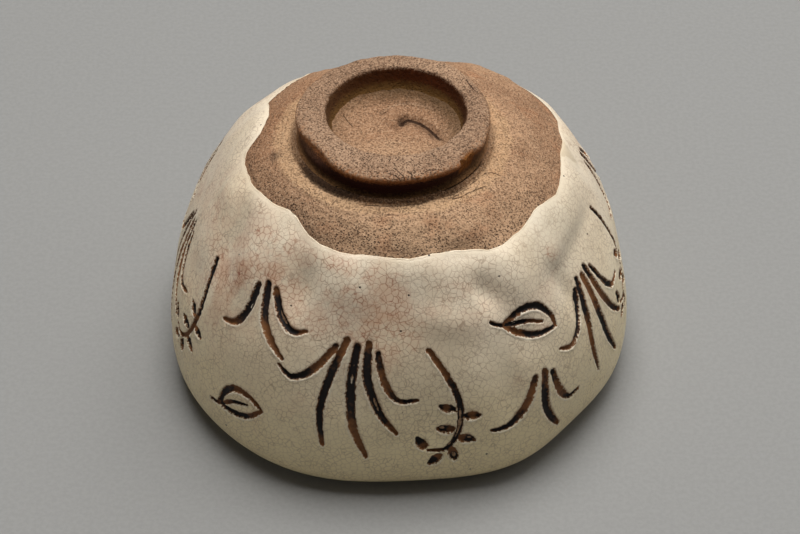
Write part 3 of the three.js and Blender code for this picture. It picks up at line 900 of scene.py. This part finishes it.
# The knife left a groove with ragged sides, and a small burr along its lower side.
least_distance = 1e-9
_, distances = nearest_stroke(points_of(coat))
finer_where(coat, facing_out(coat) & (distances < 2.5 * mm), 4, 8)
coat_points = points_of(coat)
indices, distances = nearest_stroke(coat_points)
ragged = 0.16 * grain(coat_points, 1.3 * mm, 2) + 0.14 * grain(coat_points, 0.6 * mm, 9)
across_stroke = np.clip((distances + ragged * mm) / carved_widths[indices], 0, 4)
away = (coat_points - carved_points[indices]) / np.maximum(distances, least_distance)[:, None]
below = np.clip(-away[:, 2] * 0.8 + 0.4, 0, 1)
depth = 0.55 + 0.35 * carved_loads[indices]
groove = -depth * np.sqrt(np.clip(1 - across_stroke**2, 0, 1))
burr = 0.3 * bell(across_stroke - 1.35, 0.3) * below * (0.6 + 0.4 * grain(coat_points, 1.6 * mm, 6))
carved = facing_out(coat) * (distances < 4 * mm)
pushed_out(coat, (groove + burr) * carved * mm)
note(coat, "iron", across_stroke)
note(coat, "load", carved_loads[indices])
note(coat, "below", below)
note(coat, "edge", from_edge(coat_points) / mm)

# Where iron in the clay blushes through the glaze: azimuth and climb in degrees, reach in
# millimetres and strength
blushes = [
    (-132, 43, 10, 1.0),
    (-142, 36, 11, 1.0),
    (-155, 20, 22, 0.35),
    (-104, 42, 12, 1.0),
    (-90, 42, 7, 0.5),
    (-94, 34, 8, 0.8),
    (-78, 44, 6, 0.3),
    (-68, 40, 7, 0.4),
    (-50, 33, 6, 0.5),
    (-41, 41, 4, 0.9),
    (-112, 18, 8, 0.35),
    (-125, 10, 8, 0.3),
    (-62, 22, 5, 0.4),
    (-165, 44, 10, 0.5),
    (170, 34, 12, 0.5),
    (140, 38, 12, 0.8),
    (110, 31, 13, 0.7),
    (80, 33, 10, 0.6),
    (50, 31, 12, 0.7),
    (20, 37, 9, 0.5),
    (95, 15, 10, 0.3),
    (35, 14, 9, 0.3),
]
blush = np.zeros(len(coat_points))
for azimuth, climb, size, strength in blushes:
    spot = np.array(on_skin(coat_skin, way_at(azimuth, climb)))
    blush += strength * bell(np.linalg.norm(coat_points - spot, axis=1), size * mm)
note(coat, "blush", blush)

# A patch of painted shade greys the coat at the right front of the shoulder, to dim its highlight.
dimmed_highlight_spot = np.array(on_skin(coat_skin, way_at(-32, 45)))
dimmed_highlight_reach = 15 * mm
note(coat, "dimmed_highlight", bell(np.linalg.norm(coat_points - dimmed_highlight_spot, axis=1), dimmed_highlight_reach))


def iron_marks(finish, colour, clouds):
    """Rubs iron into the carved strokes. Gives the colour, and where the iron lies."""
    seeped_iron = srgb(140, 94, 58)
    burr_highlight_cream = srgb(240, 228, 206)
    iron_brown = srgb(84, 44, 18)
    iron_amber = srgb(164, 108, 56)
    iron_black = srgb(20, 9, 5)
    across = finish.noted("iron")
    below = finish.noted("below")
    above = finish.reckon("SUBTRACT", 1.0, below)
    seeping = finish.ramp(across, 1.0, 1.9, 0.75, 0)
    colour = finish.paint(colour, seeped_iron, seeping, above, clouds)
    ragged_across = finish.torn(across, 0.55 * mm, 1.5)
    # Below each stroke the burr is paler glaze with a painted highlight
    burr_start = finish.ramp(ragged_across, 1.05, 1.2)
    burr_end = finish.ramp(ragged_across, 1.4, 1.8, 1, 0)
    colour = finish.paint(colour, burr_highlight_cream, burr_start, burr_end, below, 0.7)
    uneven = finish.times(finish.mottle(2.2 * mm, 2, 0.6), 0.8)
    laden = finish.ramp(finish.reckon("ADD", finish.noted("load"), uneven), 0.7, 1.0, 0.12, 1)
    thin_iron = finish.blend(finish.mottle(1.2 * mm, 3, 0.6), iron_brown, iron_amber)
    core = finish.ramp(ragged_across, 0.8, 1.0, 1, 0)
    iron = finish.paint(thin_iron, iron_black, core, laden)
    inked = finish.ramp(ragged_across, 1.0, 1.1, 1, 0)
    return finish.paint(colour, iron, inked), inked


def crackle_glaze(name, outside):
    """Cream glaze with a net of fine cracks. Only the outside has an edge, blushes and marks."""
    finish = Finish(name)
    cream = srgb(243, 226, 199)
    deep_cream = srgb(236, 217, 187)
    low_cream_and_light = srgb(254, 234, 184)
    blush_pink = srgb(208, 158, 122)
    dimmed_highlight_cream = srgb(206, 194, 170)
    thin_edge_cream_and_shade = srgb(206, 184, 150)
    stain_brown = srgb(190, 144, 112)
    crack_grey = srgb(118, 92, 66)
    crack_rust = srgb(160, 98, 70)
    pinhole_brown = srgb(60, 40, 28)
    broad = finish.ramp(finish.mottle(26 * mm, 2, 0.5), 0.4, 0.62)
    colour = finish.blend(broad, cream, deep_cream)
    # Lower down the glaze is yellower, and lighter as painted light on the lower wall
    low = finish.ramp(finish.height(), 8 * mm, 50 * mm, 1, 0)
    colour = finish.paint(colour, low_cream_and_light, low, 0.9)
    clouds = finish.ramp(finish.mottle(7 * mm, 4, 0.6), 0.34, 0.64)
    rosy = finish.times(clouds, finish.noted("blush") if outside else 0.3)
    colour = finish.paint(colour, blush_pink, rosy, 0.5)

    # A coarse net of cracks, and patches of a finer one
    strayed = finish.wandering(1.8 * mm, 0.9 * mm)
    coarse_gap = finish.cells(1.35 * mm, "DISTANCE_TO_EDGE", strayed)
    coarse = finish.ramp(coarse_gap, 0.012, 0.07, 1, 0)
    fine = finish.ramp(finish.cells(0.85 * mm, "DISTANCE_TO_EDGE", strayed), 0.015, 0.09, 1, 0)
    where_fine = finish.ramp(finish.mottle(5 * mm, 2, 0.5), 0.46, 0.58, 0, 0.6)
    cracks = finish.reckon("MAXIMUM", coarse, finish.times(fine, where_fine))
    fading = finish.ramp(finish.mottle(6 * mm, 3, 0.6), 0.35, 0.65, 0.45, 1)
    stained = finish.reckon("ADD", finish.times(rosy, 0.5), 0.4)
    fainter_below = finish.reckon("SUBTRACT", 1.0, finish.times(low, 0.15))
    showing = finish.times(stained, fading, fainter_below)
    if outside:
        edge = finish.noted("edge")
        showing = finish.times(showing, finish.ramp(edge, 0.8, 2.4))
        # Painted shade that dims the highlight at the right front of the shoulder
        colour = finish.paint(colour, dimmed_highlight_cream, finish.noted("dimmed_highlight"), 0.6)
        # Along its edge the glaze is thin and tan, with painted shade that dims the highlight there
        colour = finish.paint(colour, thin_edge_cream_and_shade, finish.ramp(edge, 0.1, 0.9, 0.5, 0))
    stain = finish.ramp(coarse_gap, 0, 0.2, 0.4, 0)
    colour = finish.paint(colour, stain_brown, stain, showing)
    crack_colour = finish.blend(finish.ramp(rosy, 0.1, 0.5), crack_grey, crack_rust)
    colour = finish.paint(colour, crack_colour, cracks, showing)
    pinholes = finish.ramp(finish.cells(6 * mm), 0.03, 0.055, 1, 0)
    colour = finish.paint(colour, pinhole_brown, pinholes)
    pitting = finish.reckon("ADD", finish.times(cracks, 0.25), pinholes)
    height = finish.reckon("SUBTRACT", finish.mottle(2.4 * mm, 3, 0.5), pitting)
    roughness = finish.ramp(finish.mottle(6 * mm, 3, 0.5), 0.3, 0.7, 0.34, 0.48)
    if outside:
        colour, inked = iron_marks(finish, colour, clouds)
        roughness = finish.reckon("ADD", roughness, finish.times(inked, 0.35))
        height = finish.times(height, finish.reckon("SUBTRACT", 1.0, inked))
    bump = finish.relief(height, 0.1 * mm)
    return finish.give(Base_Color=colour, Roughness=roughness, Normal=bump)


coat.data.materials.append(crackle_glaze("outer_crackle_glaze", True))
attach(coat, "root")
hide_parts("outer_glaze")

# Inside coat. The same glaze poured in and swirled round, so it is smooth, with a shallow pool in
# the middle of the floor.
lining = welded_copy("inner_glaze", "inner_coat")
rounded(lining, 2)
lining.data.materials.append(crackle_glaze("inner_crackle_glaze", False))
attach(lining, "root")
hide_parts("inner_glaze")

# Studio. A sheet of plain grey card, lit by a soft box overhead, two behind the bowl, and a weak
# one on each side and in front.
floor_width = 6
lamp_aim = Vector((0, 0, 40 * mm))
sky_strength = 0.01
bpy.ops.mesh.primitive_plane_add(size=floor_width, location=(0, 0, cad_box[0][2]))
floor = bpy.context.active_object
floor.name = "studio_floor"
card = Finish("grey_card")
tone = card.ramp(card.mottle(1.2 * mm, 2, 0.6), 0.3, 0.7)
card_colour = card.blend(tone, srgb(142, 141, 138), srgb(147, 146, 143))
floor.data.materials.append(card.give(Base_Color=card_colour, Roughness=0.95))


def soft_box(name, place, size, power):
    """A square lamp aimed at the bowl, with its size in metres and its power in watts."""
    lamp = bpy.data.lights.new(name, "AREA")
    lamp.shape = "SQUARE"
    lamp.size = size
    lamp.energy = power
    lit = bpy.data.objects.new(name, lamp)
    lit.location = place
    lit.rotation_euler = (lamp_aim - Vector(place)).to_track_quat("-Z", "Y").to_euler()
    bpy.context.scene.collection.objects.link(lit)


soft_box("overhead_box", (0, 0.16, 1.2), 0.7, 12.9)
soft_box("back_box", (0, 0.45, 1.2), 0.5, 2.2)
soft_box("back_right_box", (0.55, 0.6, 1.1), 0.6, 4.7)
soft_box("right_box", (0.9, 0, 1.0), 0.8, 1.6)
soft_box("left_box", (-1.3, 0, 0.5), 0.6, 0.6)
soft_box("front_box", (0, -1.3, 0.9), 1.2, 1.1)
world = bpy.data.worlds.new("studio")
world.use_nodes = True
sky = world.node_tree.nodes["Background"]
sky.inputs["Color"].default_value = (1, 1, 1, 1)
sky.inputs["Strength"].default_value = sky_strength
bpy.context.scene.world = world

# Camera, at the photograph's viewing angle
look_down = math.radians(42.77)
picture_centre = Vector((0.27 * mm, 9.8 * mm, 11.6 * mm))
stand_off = 626 * mm
focal_length = 108.3
lens = bpy.data.cameras.new("camera")
lens.lens = focal_length
camera = bpy.data.objects.new("camera", lens)
towards_camera = Vector((0, -math.cos(look_down), math.sin(look_down)))
camera.location = picture_centre + towards_camera * stand_off
camera.rotation_euler = (math.pi / 2 - look_down, 0, 0)
bpy.context.scene.collection.objects.link(camera)
bpy.context.scene.camera = camera
bpy.context.scene.view_settings.view_transform = "Standard"
